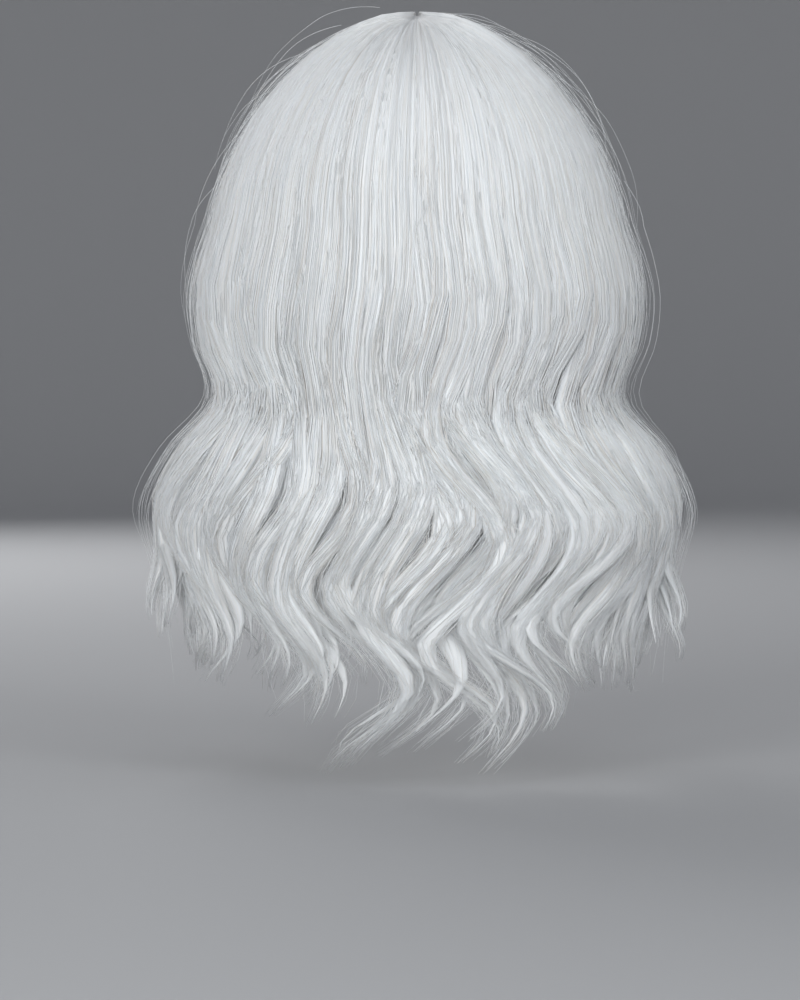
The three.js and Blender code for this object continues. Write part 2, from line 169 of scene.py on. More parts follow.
# Tresses that each lock is made of: place across it from -1 to 1, depth of its outer face in millimetres,
# share of the lock's width, and how many strands lie on it. The last three are the inner ones.
TRESSES = table("across inward width strands", [
    (-0.8, 1.6, 0.4, 42),
    (-0.28, 0.4, 0.42, 45),
    (0.28, 0.9, 0.42, 45),
    (0.8, 1.6, 0.4, 42),
    (-0.55, 8.0, 0.66, 17),
    (0.0, 11.0, 0.7, 17),
    (0.55, 8.0, 0.66, 17),
])
TRESS_THICK = 9.0
INNER_DEPTH = 4.0  # a tress that lies deeper than this is an inner one
# How the strands of a tress draw together towards its tip
TRESS_TAPER = table("drop width", [
    (0.0, 1.0), (0.4, 1.0), (0.62, 1.02), (0.76, 0.97), (0.87, 0.8), (0.95, 0.52), (1.0, 0.2),
])

# Bodies and strands share their levels down to the first bulge, so that no strand sinks into its tress.
# Each tress has them shifted a little, so that their bends don't line up across the wig.
SHARED_LEVELS = np.array([
    0, 0.05, 0.12, 0.21, 0.31, 0.42, 0.54, 0.66, 0.78, 0.89, 0.98, 1.05, 1.12, 1.19, 1.26,
])
LEVEL_SHIFT = 0.07
# Below, both have more levels towards the tip, where the hair curls.
STRAND_SHARES = 1 - np.linspace(1, 0, 12)[1:] ** 1.2
BODY_SHARES = 1 - np.linspace(1, 0, 21)[1:] ** 1.2
UNDER_LEVELS = np.linspace(0, 1, 18)
STRAND_RAISE = 0.1
BODY_SIDES = 10

# The parting runs on a little behind the crown as a thin line where the hair falls to both sides.
# Along it the tress bodies are painted dark tan: painted shade in the gap, tan like the parting skin.
SLIT_SIDE = 0.1466
SLIT_WIDTH = 0.006
SLIT_LEVELS = (0.3, 0.62)

STRAND_RADIUS = 0.26
FLYAWAY_RADIUS = 0.13
FLYAWAY_COUNT = 330
FLYAWAY_REACH = 13.0
MARK_STEP = 200  # strand coordinate for one level, in the fibre material


def mix(a, b, share):
    """The value between a and b at a share."""
    return a + (b - a) * share


def ease(x):
    """A smooth step from 0 at 0 to 1 at 1."""
    t = np.clip(x, 0, 1)
    return t * t * (3 - 2 * t)


def look(rows, key, column, at):
    """Value of a table's column at keys, on a smooth curve through its rows."""
    xs, ys = rows[key], rows[column]
    slopes = np.empty_like(ys)
    slopes[1:-1] = (ys[2:] - ys[:-2]) / (xs[2:] - xs[:-2])
    slopes[0] = (ys[1] - ys[0]) / (xs[1] - xs[0])
    slopes[-1] = (ys[-1] - ys[-2]) / (xs[-1] - xs[-2])
    at = np.clip(at, xs[0], xs[-1])
    i = np.clip(np.searchsorted(xs, at, side="right") - 1, 0, len(xs) - 2)
    span = xs[i + 1] - xs[i]
    t = (at - xs[i]) / span
    t2, t3 = t * t, t * t * t
    return (
        (2 * t3 - 3 * t2 + 1) * ys[i]
        + (t3 - 2 * t2 + t) * span * slopes[i]
        + (3 * t2 - 2 * t3) * ys[i + 1]
        + (t3 - t2) * span * slopes[i + 1]
    )


def unit(vectors):
    return vectors / np.maximum(np.linalg.norm(vectors, axis=-1, keepdims=True), 1e-9)


def on_middle(degrees):
    """Direction on the head's middle line, at an angle behind the top."""
    angle = np.radians(degrees)
    return np.stack([np.zeros_like(angle), np.sin(angle), np.cos(angle)], axis=-1)


def path_over(side, over, nearer):
    """Direction of the hair at side, from the roots at over 0 to the head's widest level at 1."""
    reach = np.abs(side)
    turn = np.minimum(1, reach / CROWN_SHARE) * math.pi / 2
    along = np.clip((reach - CROWN_SHARE) / (1 - CROWN_SHARE), 0, 1)
    angle = mix(CROWN_ANGLE, -FRONT_ANGLE, along)
    leaving = on_middle(angle + 90) * np.cos(turn)[..., None]
    leaving[..., 0] = np.sign(side) * np.sin(turn)
    off = mix(CROWN_RING, ROOT_SPREAD, ease((reach - CROWN_SHARE) / RING_EASE)) * nearer
    start = unit(on_middle(angle) + leaving * (off / HEAD_DROP)[..., None])
    azimuth = side * FACE_AZIMUTH
    end = np.stack([np.sin(azimuth), np.cos(azimuth), np.zeros_like(azimuth)], axis=-1)
    pull = np.arccos(np.clip(np.sum(start * end, axis=-1), -1, 1))[..., None]
    t = over[..., None]
    t2, t3 = t * t, t * t * t
    down = np.array([0.0, 0.0, -1.0])
    return unit(
        start * (2 * t3 - 3 * t2 + 1)
        + leaving * (t3 - 2 * t2 + t) * pull
        + end * (3 * t2 - 2 * t3)
        + down * (t3 - t2) * pull
    )


def outline_at(fall):
    """Half-axes of the hair's outer side at a share of the fall."""
    return (
        HALF_WIDTH * look(OUTLINE, "fall", "side", fall),
        BACK_DEPTH * look(OUTLINE, "fall", "back", fall),
        FACE_DEPTH * look(OUTLINE, "fall", "face", fall),
    )


def place(side, level, inward, nearer=1.0):
    """Point of the hair: level 0 at the roots, 1 at the head's widest level, 2 at the longest tip."""
    side, level, inward = np.broadcast_arrays(side, level, inward)
    over, fall = np.clip(level, 0, 1), np.clip(level - 1, 0, None)
    direction = path_over(side, over, np.broadcast_to(nearer, side.shape))
    down = np.arccos(np.clip(direction[..., 2], -1, 1)) * 2 / math.pi
    grown = np.maximum(down, 0) ** THICKENING
    widest = [float(v) for v in outline_at(np.array(0.0))]
    lengthways = np.where(direction[..., 1] > 0, widest[1], widest[2])
    root = 1 - ease(over / ROOT_EASE)
    low = STRIP_GAP + STRIP_THICKNESS + ROOT_RISE
    across = mix(mix(HAIR_TOP, widest[0] - HEAD_WIDTH / 2 - CAP_WALL, grown), low, root)
    along = mix(mix(HAIR_TOP, lengthways - HEAD_LENGTH / 2 - CAP_WALL, grown), low, root)
    upright = mix(HAIR_TOP, low, root)
    lying = np.stack([
        direction[..., 0] * (HEAD_WIDTH / 2 + CAP_WALL + across - inward),
        direction[..., 1] * (HEAD_LENGTH / 2 + CAP_WALL + along - inward),
        direction[..., 2] * (HEAD_DROP + CAP_WALL + upright - inward) - HEAD_DROP,
    ], axis=-1)
    wide, back, face = outline_at(fall)
    azimuth = side * FACE_AZIMUTH
    deep = np.where(np.cos(azimuth) > 0, back, face)
    hanging = np.stack([
        np.sin(azimuth) * (wide - inward),
        np.cos(azimuth) * (deep - inward),
        -HEAD_DROP - fall * FALL,
    ], axis=-1)
    return np.where((level < 1)[..., None], lying, hanging)


def wave(side, fall, phase, sway):
    """Side shift of the hair's waves, in units of side."""
    swing = WAVE_SWAY * sway * ease(fall / SWAY_EASE) / SIDE_MM
    return swing * np.sin(2 * math.pi * (fall * FALL / WAVE_LENGTH + phase))


class MeshParts:
    """Vertices, faces and strand coordinates gathered for one piece."""

    def __init__(self):
        self.points, self.faces, self.strands = [], [], []
        self.count = 0

    def add(self, points, faces, strands):
        self.points.append(points.reshape(-1, 3))
        self.strands.append(strands.reshape(-1, 3))
        self.faces.append(faces + self.count)
        self.count += points.reshape(-1, 3).shape[0]

    def make(self, name, material):
        points = np.concatenate(self.points) * MM
        faces = np.concatenate(self.faces).astype(np.int32)
        mesh = bpy.data.meshes.new(name)
        mesh.vertices.add(len(points))
        mesh.vertices.foreach_set("co", points.astype(np.float32).ravel())
        mesh.loops.add(faces.size)
        mesh.loops.foreach_set("vertex_index", faces.ravel())
        mesh.polygons.add(len(faces))
        mesh.polygons.foreach_set("loop_start", np.arange(0, faces.size, faces.shape[1], dtype=np.int32))
        mesh.polygons.foreach_set("use_smooth", np.ones(len(faces), dtype=bool))
        mesh.update(calc_edges=True)
        strands = mesh.attributes.new("strand", "FLOAT_VECTOR", "POINT")
        strands.data.foreach_set("vector", np.concatenate(self.strands).astype(np.float32).ravel())
        mesh.validate()
        piece = bpy.data.objects.new(name, mesh)
        bpy.context.scene.collection.objects.link(piece)
        mesh.materials.append(material)
        return piece


def tube_faces(count, rows, sides):
    """Triangles of count closed tubes, each with rows rings of some sides and a point at both ends."""
    per = rows * sides
    row, k = np.meshgrid(np.arange(rows - 1), np.arange(sides), indexing="ij")
    a = (row * sides + k).ravel()
    b = (row * sides + (k + 1) % sides).ravel()
    walls = np.concatenate([
        np.stack([a, b, a + sides], axis=-1),
        np.stack([b, b + sides, a + sides], axis=-1),
    ])
    fans = [(0, k + 1, k) for k in range(1, sides - 1)]
    last = (rows - 1) * sides
    fans += [(last, last + k, last + k + 1) for k in range(1, sides - 1)]
    one = np.concatenate([walls, np.array(fans, dtype=int)])
    return (one[None] + (np.arange(count) * per)[:, None, None]).reshape(-1, 3)


def add_tubes(parts, paths, radii, marks, sides=3):
    """Closed thin tubes along paths of shape (count, rows, 3)."""
    count, rows, _ = paths.shape
    tangent = unit(np.gradient(paths, axis=1))
    outward = paths * np.array([1.0, 1.0, 0.0]) + np.array([0.0, 0.0, 1e-3])
    across = unit(np.cross(tangent, unit(outward)))
    normal = np.cross(across, tangent)
    angle = 2 * math.pi * np.arange(sides) / sides + math.pi / 2
    ring = (
        across[:, :, None] * np.cos(angle)[:, None] + normal[:, :, None] * np.sin(angle)[:, None]
    ) * radii[:, :, None, None]
    points = paths[:, :, None] + ring
    strands = np.broadcast_to(marks[:, :, None, :], points.shape)
    parts.add(points, tube_faces(count, rows, sides), strands)


def slow_noise(count, rows, waves, rng):
    """Smooth random wander along each strand, about -1 to 1."""
    t = np.linspace(0, 1, rows)[None]
    total = np.zeros((count, rows))
    for k in range(1, waves + 1):
        total += np.sin(2 * math.pi * (k * t + rng.random((count, 1)))) * rng.normal(size=(count, 1)) / k
    return total


def levels_for(length, shares, shift):
    """Levels of one strand or body, from the roots to its own tip. The shift grows from 0 at the roots."""
    length = np.asarray(length, dtype=float)[..., None]
    shared = SHARED_LEVELS + shift * ease(SHARED_LEVELS / 0.5)
    shared = np.broadcast_to(shared, length.shape[:-1] + shared.shape)
    return np.concatenate([shared, mix(shared[..., -1:], 1 + length, shares)], axis=-1)


def slit_at(side, level):
    """How near a place is to the thin line behind the crown, from 0 to 1."""
    start, end = SLIT_LEVELS
    along = ease(level / 0.03) * (1 - ease((level - start) / (end - start)))
    return along * np.exp(-((side - SLIT_SIDE) / SLIT_WIDTH) ** 2)


def parted(side, level):
    """The side of a strand after it has drawn back from the thin line."""
    return side + np.sign(side - SLIT_SIDE) * SLIT_WIDTH * 0.7 * slit_at(side, level)


class Tress:
    """One tress of a lock: where its middle runs, and how wide and thick it is at each level.

    It differs a little at random from its lock: in its length, in the phase, stretch and sway of its waves,
    in the hook, drift and curl of its tip, and in how far it stands out and rolls in depth.
    """

    def __init__(self, lock, across, inward, width, middle, half):
        self.lock, self.middle, self.half = lock, middle, half
        self.across, self.inward, self.width = across, inward, width
        inner = inward > INNER_DEPTH
        self.length = lock["length"] * (rng.uniform(0.88, 0.98) if inner else rng.uniform(0.88, 1.0))
        self.phase = lock["phase"] + rng.normal() * 0.06
        self.stretch = rng.uniform(0.92, 1.1)
        self.sway = lock["sway"] * rng.uniform(0.75, 1.5)
        self.hook = np.clip(lock["hook"] * 0.6 + rng.normal() * 0.55, -0.95, 0.95)
        self.drift = rng.normal() * 0.28
        self.curl = rng.choice([-1.0, 1.0]) * rng.uniform(0.2, 1.0)
        self.out = rng.normal() * 0.1
        self.spread = rng.uniform(0.55, 1.0)
        self.depth_sway = rng.uniform(0.8, 3.0)
        self.depth_phase = rng.random()
        self.mark = rng.random() * 100
        self.shift = (self.mark / 100 - 0.5) * LEVEL_SHIFT

    def centre(self, level):
        """Side and depth of the tress's middle."""
        fall = np.clip(level - 1, 0, None)
        drop = fall / self.length
        lock = self.lock
        gathered = mix(1, look(TAPER, "drop", "width", drop), 1 - self.spread)
        turned = ease((drop - HOOK_START) / (1 - HOOK_START)) ** 1.5
        side = self.middle + self.across * self.half * gathered
        side = side + (self.hook * turned * 2 + self.drift * ease(drop)) * self.half
        side = side + CURL * self.curl * ease((drop - CURL_START) / (1.05 - CURL_START)) ** 1.3 / SIDE_MM
        run = fall * FALL - (1 - np.minimum(level, 1)) * OVER_LENGTH
        waves = (run - WAVE_ANCHOR) / (WAVE_LENGTH * self.stretch) + WAVE_ANCHOR / WAVE_LENGTH
        waves = waves + TIP_TURN * ease((drop - TIP_START) / (1.1 - TIP_START))
        grown = ease((run + SWAY_LEAD) / SWAY_RUN) * mix(1, SWAY_AT_TIP, ease(drop))
        swing = WAVE_SWAY * self.sway * grown / SIDE_MM
        side = side + swing * np.sin(2 * math.pi * (waves + self.phase))
        deep = look(TAPER, "drop", "depth", drop)
        lift = LOCK_DEPTH * (1 - deep) * (1 - lock["lift"] * 0.5) / 2
        flick = FLICK * (lock["flick"] * 0.75 + self.out) * turned**2.2
        rolling = self.depth_sway * ease(fall / 0.3) * (1 + np.sin(2 * math.pi * (waves + self.depth_phase)))
        smooth = mix(0.25, 1, ease((level - 0.4) / 0.8))
        inward = self.inward * smooth * mix(1, deep, 0.6) + lift - flick + rolling
        return side, inward

    def size(self, level):
        """Half-width in units of side and half-thickness in millimetres."""
        drop = np.clip(level - 1, 0, None) / self.length
        share = look(TRESS_TAPER, "drop", "width", drop)
        thick = TRESS_THICK / 2 * mix(0.07, 1, ease((level - 0.5) / 0.9)) * mix(1, share, 0.75)
        wide = mix(1.55, 1.15, ease((level - 0.5) / 1.0))
        return self.half * self.width * wide * share, thick


def add_body(parts, tress):
    """The dense inner mass of a tress, a closed body with a rounded flat section that ends in a point."""
    level = levels_for(tress.length, BODY_SHARES, tress.shift)
    side, inward = tress.centre(level)
    half, thick = tress.size(level)
    drop = np.clip(level - 1, 0, None) / tress.length
    thin = 1 - 0.95 * ease((drop - 0.76) / 0.24)
    angle = 2 * math.pi * np.arange(BODY_SIDES) / BODY_SIDES
    p = np.sign(np.cos(angle)) * np.abs(np.cos(angle)) ** 0.75
    q = np.sign(np.sin(angle)) * np.abs(np.sin(angle)) ** 0.75
    sides = side[:, None] + p * (half * thin)[:, None]
    depth = inward[:, None] + thick[:, None] * (1 - 0.9 * q * mix(0.06, 1, thin)[:, None])
    points = place(sides, level[:, None], depth)
    # The third coordinate falls below 0 along the thin line behind the crown, where the fibre paints dark tan
    # shade in the gap.
    marks = np.stack([
        np.broadcast_to(p * tress.width * 14 + tress.mark, sides.shape),
        np.broadcast_to(level[:, None] * MARK_STEP, sides.shape),
        0.5 - 0.9 * slit_at(sides, level[:, None]),
    ], axis=-1)
    parts.add(points, tube_faces(1, len(level), BODY_SIDES), marks)


def add_strands(parts, tress, count):
    """Fine strands over a tress, most of them on its outer face, and some loose ones beside it."""
    lengths = tress.length * (1.01 - 0.22 * rng.random(count) ** 1.6)
    level = levels_for(lengths, STRAND_SHARES, tress.shift)
    rows = level.shape[1]
    side, inward = tress.centre(level)
    half, thick = tress.size(level)
    loose = ease((level - 0.9) / 0.9)
    stray = (rng.random((count, 1)) < 0.16) * loose
    # p runs across the tress from -1 to 1, and q from -1 on its inner face to 1 on its outer one
    p = rng.uniform(-1.12, 1.12, count)[:, None]
    inner = rng.random((count, 1)) < 0.14
    q = np.maximum(0, 1 - np.abs(p) ** 3) ** 0.4
    q = np.where(inner, -q, q) + rng.normal(size=(count, 1)) * mix(0.03, 0.06, loose)
    p = p + slow_noise(count, rows, 3, rng) * mix(0.02, 0.13, loose) + rng.normal(size=(count, 1)) * stray
    q = q + slow_noise(count, rows, 3, rng) * mix(0.01, 0.16, loose)
    fork = rng.normal(size=(count, 1)) * ease((level - 1 - 0.5 * tress.length) / (0.5 * tress.length)) * 0.009
    across = parted(side + p * half + fork, level)
    raised = STRAND_RAISE * (1 - ease(level - 0.1))
    deep = inward + thick * (1 - q) - raised
    points = place(across, level, deep)
    points[:, :1] = place(across[:, :1], level[:, :1], deep[:, :1], rng.uniform(0.3, 1, (count, 1)))
    drop = np.clip((level - 1) / lengths[:, None], 0, 1)
    thin = mix(0.42, 1, ease((level - 0.3) / 0.9)) * (1 - 0.7 * ease((drop - 0.5) / 0.5))
    radii = STRAND_RADIUS * rng.uniform(0.6, 1.3, (count, 1)) * thin
    marks = np.stack([
        np.broadcast_to(p * 8 + tress.mark, level.shape),
        level * MARK_STEP,
        np.broadcast_to(rng.random((count, 1)), level.shape),
    ], axis=-1)
    add_tubes(parts, points, radii, marks)


def finish_piece(piece, slot, *nodes):
    """The body and replaced nodes of a piece. The slot is not used."""
    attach(piece, "root")
    if nodes:
        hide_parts(*nodes)


def principled(name):
    """A new material with its nodes, links and shader."""
    material = bpy.data.materials.new(name)
    material.use_nodes = True
    tree = material.node_tree
    return material, tree.nodes, tree.links, tree.nodes["Principled BSDF"]


def hair_material():
    """Soft white fibre: fine lengthways lines in relief and colour, from each strand's own coordinates."""
    material, nodes, links, shader = principled("white_fibre")
    strand = nodes.new("ShaderNodeAttribute")
    strand.attribute_name = "strand"
    stretch = nodes.new("ShaderNodeMapping")
    stretch.inputs["Scale"].default_value = (2.4, 0.02, 30.0)
    links.new(strand.outputs["Vector"], stretch.inputs["Vector"])
    lines = nodes.new("ShaderNodeTexNoise")
    lines.inputs["Scale"].default_value = 1.0
    lines.inputs["Detail"].default_value = 3.0
    links.new(stretch.outputs["Vector"], lines.inputs["Vector"])
    pale = nodes.new("ShaderNodeMapRange")
    pale.inputs["From Min"].default_value = 0.34
    pale.inputs["From Max"].default_value = 0.56
    links.new(lines.outputs["Fac"], pale.inputs["Value"])
    tone = nodes.new("ShaderNodeMix")
    tone.data_type = "RGBA"
    tone.inputs["A"].default_value = (0.91, 0.892, 0.862, 1)
    tone.inputs["B"].default_value = (0.945, 0.965, 0.98, 1)
    links.new(pale.outputs["Result"], tone.inputs["Factor"])
    # Painted shade: where the third strand coordinate is below 0, along the thin line behind the crown, the
    # fibre turns dark tan for the shaded gap between the hair.
    parts = nodes.new("ShaderNodeSeparateXYZ")
    links.new(strand.outputs["Vector"], parts.inputs["Vector"])
    slit_shade_mask = nodes.new("ShaderNodeMapRange")
    slit_shade_mask.inputs["From Min"].default_value = -0.2
    slit_shade_mask.inputs["From Max"].default_value = 0.1
    links.new(parts.outputs["Z"], slit_shade_mask.inputs["Value"])
    tone_and_slit_shade = nodes.new("ShaderNodeMix")
    tone_and_slit_shade.data_type = "RGBA"
    tone_and_slit_shade.inputs["A"].default_value = (0.42, 0.31, 0.22, 1)
    links.new(slit_shade_mask.outputs["Result"], tone_and_slit_shade.inputs["Factor"])
    links.new(tone.outputs["Result"], tone_and_slit_shade.inputs["B"])
    links.new(tone_and_slit_shade.outputs["Result"], shader.inputs["Base Color"])
    bump = nodes.new("ShaderNodeBump")
    bump.inputs["Strength"].default_value = 0.16
    bump.inputs["Distance"].default_value = 0.0005
    links.new(lines.outputs["Fac"], bump.inputs["Height"])
    links.new(bump.outputs["Normal"], shader.inputs["Normal"])
    shader.inputs["Roughness"].default_value = 0.5
    shader.inputs["Specular IOR Level"].default_value = 0.4
    shader.inputs["Sheen Weight"].default_value = 0.15
    return material


def cap_material():
    """Pale stretch net with sewn weft rows, seen from inside the cap."""
    material, nodes, links, shader = principled("cap_net")
    place_at = nodes.new("ShaderNodeTexCoord")
    holes = nodes.new("ShaderNodeTexVoronoi")
    holes.inputs["Scale"].default_value = 750.0
    links.new(place_at.outputs["Object"], holes.inputs["Vector"])
    rows = nodes.new("ShaderNodeTexWave")
    rows.bands_direction = "Z"
    rows.inputs["Scale"].default_value = 35.0
    rows.inputs["Distortion"].default_value = 0.4
    links.new(place_at.outputs["Object"], rows.inputs["Vector"])
    net = nodes.new("ShaderNodeValToRGB")
    net.color_ramp.elements[0].color = (0.60, 0.56, 0.50, 1)
    net.color_ramp.elements[1].color = (0.82, 0.80, 0.75, 1)
    net.color_ramp.elements[0].position = 0.1
    net.color_ramp.elements[1].position = 0.5
    links.new(holes.outputs["Distance"], net.inputs["Fac"])
    stitched = nodes.new("ShaderNodeValToRGB")
    stitched.color_ramp.elements[0].position = 0.72
    stitched.color_ramp.elements[1].position = 0.86
    links.new(rows.outputs["Fac"], stitched.inputs["Fac"])
    tone = nodes.new("ShaderNodeMix")
    tone.data_type = "RGBA"
    tone.inputs["B"].default_value = (0.92, 0.91, 0.89, 1)
    links.new(stitched.outputs["Color"], tone.inputs["Factor"])
    links.new(net.outputs["Color"], tone.inputs["A"])
    links.new(tone.outputs["Result"], shader.inputs["Base Color"])
    bump = nodes.new("ShaderNodeBump")
    bump.inputs["Strength"].default_value = 0.5
    bump.inputs["Distance"].default_value = 0.0004
    links.new(holes.outputs["Distance"], bump.inputs["Height"])
    links.new(bump.outputs["Normal"], shader.inputs["Normal"])
    shader.inputs["Roughness"].default_value = 0.85
    return material


def strip_material():
    """Tan parting strip with fine knots."""
    material, nodes, links, shader = principled("parting_skin")
    place_at = nodes.new("ShaderNodeTexCoord")
    knots = nodes.new("ShaderNodeTexNoise")
    knots.inputs["Scale"].default_value = 900.0
    links.new(place_at.outputs["Object"], knots.inputs["Vector"])
    tone = nodes.new("ShaderNodeValToRGB")
    tone.color_ramp.elements[0].color = (0.30, 0.21, 0.13, 1)
    tone.color_ramp.elements[1].color = (0.62, 0.50, 0.38, 1)
    links.new(knots.outputs["Fac"], tone.inputs["Fac"])
    links.new(tone.outputs["Color"], shader.inputs["Base Color"])
    bump = nodes.new("ShaderNodeBump")
    bump.inputs["Strength"].default_value = 0.4
    bump.inputs["Distance"].default_value = 0.0003
    links.new(knots.outputs["Fac"], bump.inputs["Height"])
    links.new(bump.outputs["Normal"], shader.inputs["Normal"])
    shader.inputs["Roughness"].default_value = 0.7
    return material


def grid_faces(rows, columns, closed):
    """Quads of a grid of points, wrapped round in the column direction when closed."""
    last = columns if closed else columns - 1
    row, k = np.meshgrid(np.arange(rows - 1), np.arange(last), indexing="ij")
    a = (row * columns + k).ravel()
    b = (row * columns + (k + 1) % columns).ravel()
    return np.stack([a, b, b + columns, a + columns], axis=-1)


def over_head(direction, out):
    """Points over the head in some directions, out from its surface."""
    return np.stack([
        direction[..., 0] * (HEAD_WIDTH / 2 + out),
        direction[..., 1] * (HEAD_LENGTH / 2 + out),
        direction[..., 2] * (HEAD_DROP + out) - HEAD_DROP,
    ], axis=-1)


def make_cap(material):
    """Smooth thin dome with low weft rows inside and a soft hem."""
    columns, rows = 132, 60
    azimuth = np.linspace(0, 360, columns, endpoint=False)
    drop = EDGE_DROP * look(CAP_EDGE, "azimuth", "drop", np.minimum(azimuth, 360 - azimuth))
    polar_edge = np.arccos((HEAD_DROP - drop) / HEAD_DROP)
    share = np.linspace(0.012, 1, rows)[:, None]
    polar = share * polar_edge
    turn = np.radians(azimuth)[None]
    direction = np.stack([
        np.sin(turn) * np.sin(polar), np.cos(turn) * np.sin(polar), np.cos(polar) + 0 * turn,
    ], axis=-1)
    level = (1 - np.cos(polar)) * HEAD_DROP
    hem = ease((share - 0.965) / 0.02)
    weft = np.maximum(0, np.sin(level / 9 * 2 * math.pi)) ** 6 * ease((level - 8) / 10)
    inside = over_head(direction, 0.55 - 0.45 * weft - 0.4 * hem)
    outside = over_head(direction, CAP_WALL - 0.6 + 0.5 * hem)
    points = np.concatenate([outside, inside[::-1]])
    faces = grid_faces(2 * rows, columns, True)
    parts = MeshParts()
    parts.add(points, faces[:, ::-1], points)
    piece = parts.make("cap_shell", material)
    close_poles(piece)
    finish_piece(piece, "cap_net", "cap")


def close_poles(piece):
    """Fills the holes that a grid wrapped round leaves at its two ends."""
    mesh = bmesh.new()
    mesh.from_mesh(piece.data)
    rims = [e for e in mesh.edges if e.is_boundary]
    bmesh.ops.holes_fill(mesh, edges=rims, sides=0)
    bmesh.ops.recalc_face_normals(mesh, faces=mesh.faces)
    mesh.to_mesh(piece.data)
    mesh.free()


def make_strip(material):
    """Parting strip: a thin band along the middle of the cap."""
    rows, columns = 60, 9
    angle = np.linspace(-FRONT_ANGLE, CROWN_ANGLE + 2, rows)[:, None]
    across = np.linspace(-1, 1, columns)[None] * STRIP_WIDTH / HEAD_WIDTH
    direction = on_middle(angle + 0 * across)
    direction[..., 0] = across
    direction = unit(direction)
    low, high = CAP_WALL + STRIP_GAP, CAP_WALL + STRIP_GAP + STRIP_THICKNESS
    top = over_head(direction, high)
    bottom = over_head(direction, low)
    ring = np.concatenate([top, bottom[:, ::-1]], axis=1)
    parts = MeshParts()
    parts.add(ring, grid_faces(rows, 2 * columns, True), ring)
    piece = parts.make("parting_band", material)
    close_poles(piece)
    finish_piece(piece, "parting_skin", "parting_strip")


def make_locks(material):
    """Outer hair, one piece for each lock."""
    total = LOCKS["width"].sum()
    for i, name in enumerate(LOCK_NAMES):
        lock = {column: float(values[i]) for column, values in LOCKS.items()}
        left = 1 - 2 * LOCKS["width"][:i].sum() / total
        right = 1 - 2 * LOCKS["width"][: i + 1].sum() / total
        middle, half = (left + right) / 2, (left - right) / 2
        parts = MeshParts()
        for k in range(len(TRESSES["across"])):
            across, inward, width = (float(TRESSES[c][k]) for c in ("across", "inward", "width"))
            tress = Tress(lock, across, inward, width, middle, half)
            add_body(parts, tress)
            add_strands(parts, tress, int(TRESSES["strands"][k]))
        finish_piece(parts.make("hair_" + name, material), "hair", name)


def make_under(material):
    """Shorter hair from near the nape edge, under the locks."""
    half = UNDER_AZIMUTH / UNDER_COUNT / FACE_AZIMUTH
    for n in range(UNDER_COUNT):
        middle = UNDER_AZIMUTH / FACE_AZIMUTH - half * (2 * n + 1)
        parts = MeshParts()
        for across in (-0.6, 0.0, 0.6):
            add_under_tress(parts, middle + across * half, half * 0.5, 42)
        finish_piece(parts.make(f"hair_under_{n + 1}", material), "hair", f"under_{n + 1}")


def add_under_tress(parts, middle, half, count):
    """One short tress of the under hair, its body and its strands."""
    length = UNDER_FALL * rng.uniform(0.9, 1.02)
    phase = rng.uniform(-0.15, 0.15)
    sway = 0.8 * rng.uniform(0.8, 1.5)
    hook = rng.normal() * 0.03
    mark = rng.random() * 100

    def at(level, p, q, lengths):
        fall = level - 1
        drop = fall / lengths
        narrow = 1 - 0.8 * ease((drop - 0.5) / 0.5)
        side = middle + p * half * narrow + wave(0, fall, phase, sway) + hook * ease((drop - 0.6) / 0.4)
        inward = mix(*UNDER_DEPTHS, ease(fall / 0.12)) - q * UNDER_THICK / 2 * narrow
        return place(side, level, inward)

    rows = 22
    level = 1 + UNDER_START + (length * 0.93 - UNDER_START) * np.linspace(0, 1, rows)
    angle = 2 * math.pi * np.arange(BODY_SIDES) / BODY_SIDES
    thin = 1 - 0.95 * ease(np.linspace(-1.2, 1, rows))[:, None]
    p, q = np.cos(angle)[None] * thin, np.sin(angle)[None] * 0.8 * thin
    points = at(level[:, None], p, q, length)
    marks = np.stack([
        np.broadcast_to(p * 8 + mark, points.shape[:-1]),
        np.broadcast_to(level[:, None] * MARK_STEP, points.shape[:-1]),
        np.full(points.shape[:-1], 0.35),
    ], axis=-1)
    parts.add(points, tube_faces(1, len(level), BODY_SIDES), marks)
    lengths = length * rng.uniform(0.82, 1.06, (count, 1))
    level = 1 + UNDER_START + (lengths - UNDER_START) * UNDER_LEVELS
    rows = len(UNDER_LEVELS)
    p = rng.uniform(-1.15, 1.15, (count, 1)) + slow_noise(count, rows, 3, rng) * 0.14
    q = rng.choice([-1.0, 1.0], (count, 1)) * rng.uniform(0.7, 1.15, (count, 1))
    q = q + slow_noise(count, rows, 2, rng) * 0.12
    points = at(level, p, q, lengths)
    radii = STRAND_RADIUS * rng.uniform(0.7, 1.3, (count, 1)) * (1 - 0.78 * ease((UNDER_LEVELS - 0.5) / 0.5))
    marks = np.stack([
        p * 8 + mark, level * MARK_STEP, np.broadcast_to(rng.random((count, 1)) * 0.7, level.shape),
    ], axis=-1)
    add_tubes(parts, points, radii, marks)


